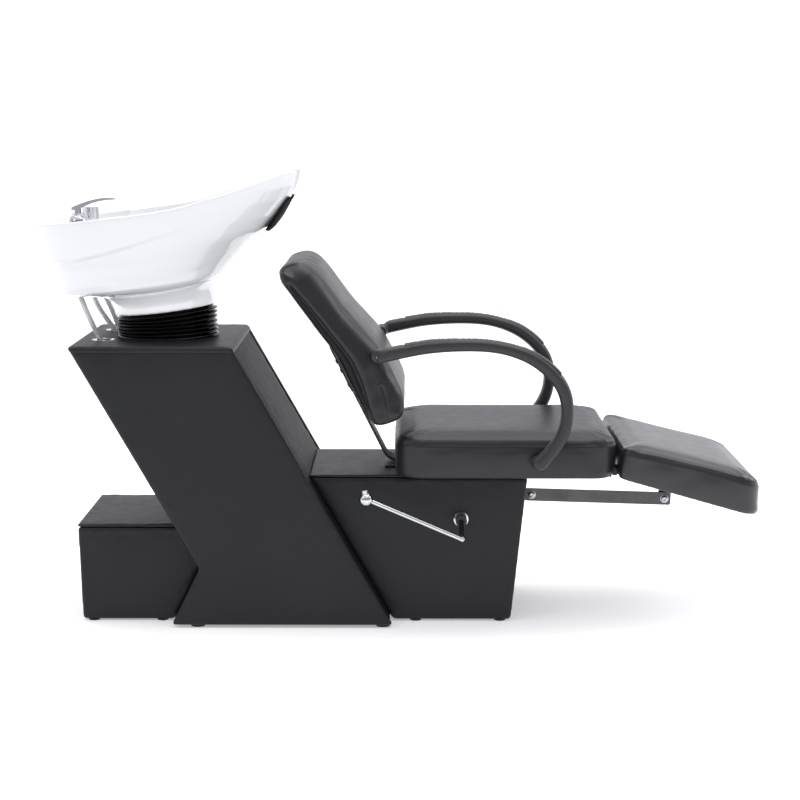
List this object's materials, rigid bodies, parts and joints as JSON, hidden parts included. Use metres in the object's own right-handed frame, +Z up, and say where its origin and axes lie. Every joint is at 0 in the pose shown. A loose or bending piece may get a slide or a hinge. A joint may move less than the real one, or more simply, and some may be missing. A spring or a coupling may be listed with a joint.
{
  "type": "hair washing bed",
  "caption": "Salon backwash unit with a tilting ceramic basin on an upholstered leaning pedestal, a fixed armchair and a raised folding leg rest worked by a side lever.",
  "frame": {"origin": "on the floor under the middle of the whole unit", "axes": "+X towards the sitter's feet, +Y to the sitter's left, +Z up"},
  "size_m": [1.6657, 0.576, 1.0386],
  "materials": {
    "black_vinyl": "satin",
    "plywood": "matt",
    "polyurethane": "fine grain",
    "glazed_white": "gloss",
    "black_rubber": "semi gloss",
    "black_steel": "satin",
    "zinc_steel": "brushed",
    "chrome": "polished",
    "braided_hose": "braided",
    "grey_plastic": "matt"
  },
  "bodies": {
    "base": {"armrest_bolts": "zinc_steel", "armrest_left": "polyurethane", "armrest_right": "polyurethane", "back_bracket": "black_steel", "back_bracket_bolts": "zinc_steel", "backrest_cushion": "black_vinyl", "backrest_frame": "plywood", "backrest_rear_panel": "black_vinyl", "basin_tilt_stand": "zinc_steel", "bellows": "black_rubber", "floor_glides": "black_rubber", "front_box_floor": "plywood", "front_box_front_panel": "black_vinyl", "front_box_lid": "black_vinyl", "front_box_sides": "black_vinyl", "hose_grommets": "chrome", "hose_unions": "black_steel", "leg_rest_hinge_plate": "black_steel", "lever_bush": "chrome", "pedestal_base_board": "plywood", "pedestal_front_panel": "black_vinyl", "pedestal_left_panel": "black_vinyl", "pedestal_rear_lower_panel": "black_vinyl", "pedestal_rear_panel": "black_vinyl", "pedestal_right_panel": "black_vinyl", "pedestal_top_board": "black_vinyl", "rear_box_back_panel": "black_vinyl", "rear_box_lid": "black_vinyl", "rear_box_sides": "black_vinyl", "seat_cushion": "black_vinyl", "seat_frame": "plywood", "seat_mounting_plate": "zinc_steel", "seat_rails": "black_steel", "shaft_bearing_bracket": "black_steel", "spray_hose": "chrome", "supply_hose_cold": "braided_hose", "supply_hose_hot": "braided_hose", "waste_hose": "grey_plastic", "waste_outlet": "grey_plastic"},
    "bowl": {"basin": "glazed_white", "neck_rest": "black_rubber", "drain_flange": "chrome", "drain_tail": "grey_plastic", "basin_tilt_bracket": "zinc_steel", "mixer_body": "chrome", "spray_holder": "chrome"},
    "mixer_handle": {"mixer_stem": "chrome"},
    "mixer_blade": {"mixer_lever": "chrome"},
    "hand_spray": {"spray_head": "chrome"},
    "strainer": {"drain_strainer": "chrome"},
    "leg_rest": {"leg_rest_cushion": "black_vinyl", "leg_rest_board": "plywood", "leg_rest_hinge_leaves": "black_steel", "leg_rest_bracket": "black_steel"},
    "lift_lever": {"crank_arm": "black_steel", "lever_shaft": "zinc_steel", "lever_rod": "chrome", "lever_knob": "chrome"},
    "lift_link": {"link_bar": "black_steel", "link_bolts": "zinc_steel"}
  },
  "joints": [
    {"name": "basin_tilt", "type": "hinge", "parent": "base", "child": "bowl", "pos_m": [-0.475, 0, 0.69], "axis": [0, -1, 0], "range_deg": [-6, 8], "deforming": ["bellows", "supply_hose_cold", "supply_hose_hot", "spray_hose", "waste_hose"]},
    {"name": "mixer_turn", "type": "hinge", "parent": "bowl", "child": "mixer_handle", "pos_m": [-0.73, 0, 0.93], "axis": [0, 0, 1], "range_deg": [-50, 50]},
    {"name": "mixer_lift", "type": "hinge", "parent": "mixer_handle", "child": "mixer_blade", "pos_m": [-0.73, 0, 0.942], "axis": [0, -1, 0], "range_deg": [0, 22]},
    {"name": "spray_lift", "type": "slide", "parent": "bowl", "child": "hand_spray", "axis": [0, 0, 1], "range_m": [0, 0.08]},
    {"name": "strainer_lift", "type": "slide", "parent": "bowl", "child": "strainer", "axis": [0, 0, 1], "range_m": [0, 0.12]},
    {"name": "leg_rest_fold", "type": "hinge", "parent": "base", "child": "leg_rest", "pos_m": [0.515, 0, 0.357], "axis": [0, 1, 0], "range_deg": [0, 60]},
    {"name": "lever_turn", "type": "hinge", "parent": "base", "child": "lift_lever", "pos_m": [0.1644, 0, 0.2433], "axis": [0, 1, 0], "range_deg": [0, 85.3]},
    {"name": "link_swing", "type": "hinge", "parent": "leg_rest", "child": "lift_link", "pos_m": [0.653, 0, 0.26], "axis": [0, 1, 0], "range_deg": [-83.1, 0]}
  ],
  "couplings": [
    {"joint": "lever_turn", "follows": "leg_rest_fold", "ratio": 1.4197},
    {"joint": "link_swing", "follows": "leg_rest_fold", "ratio": -1.3835}
  ]
}
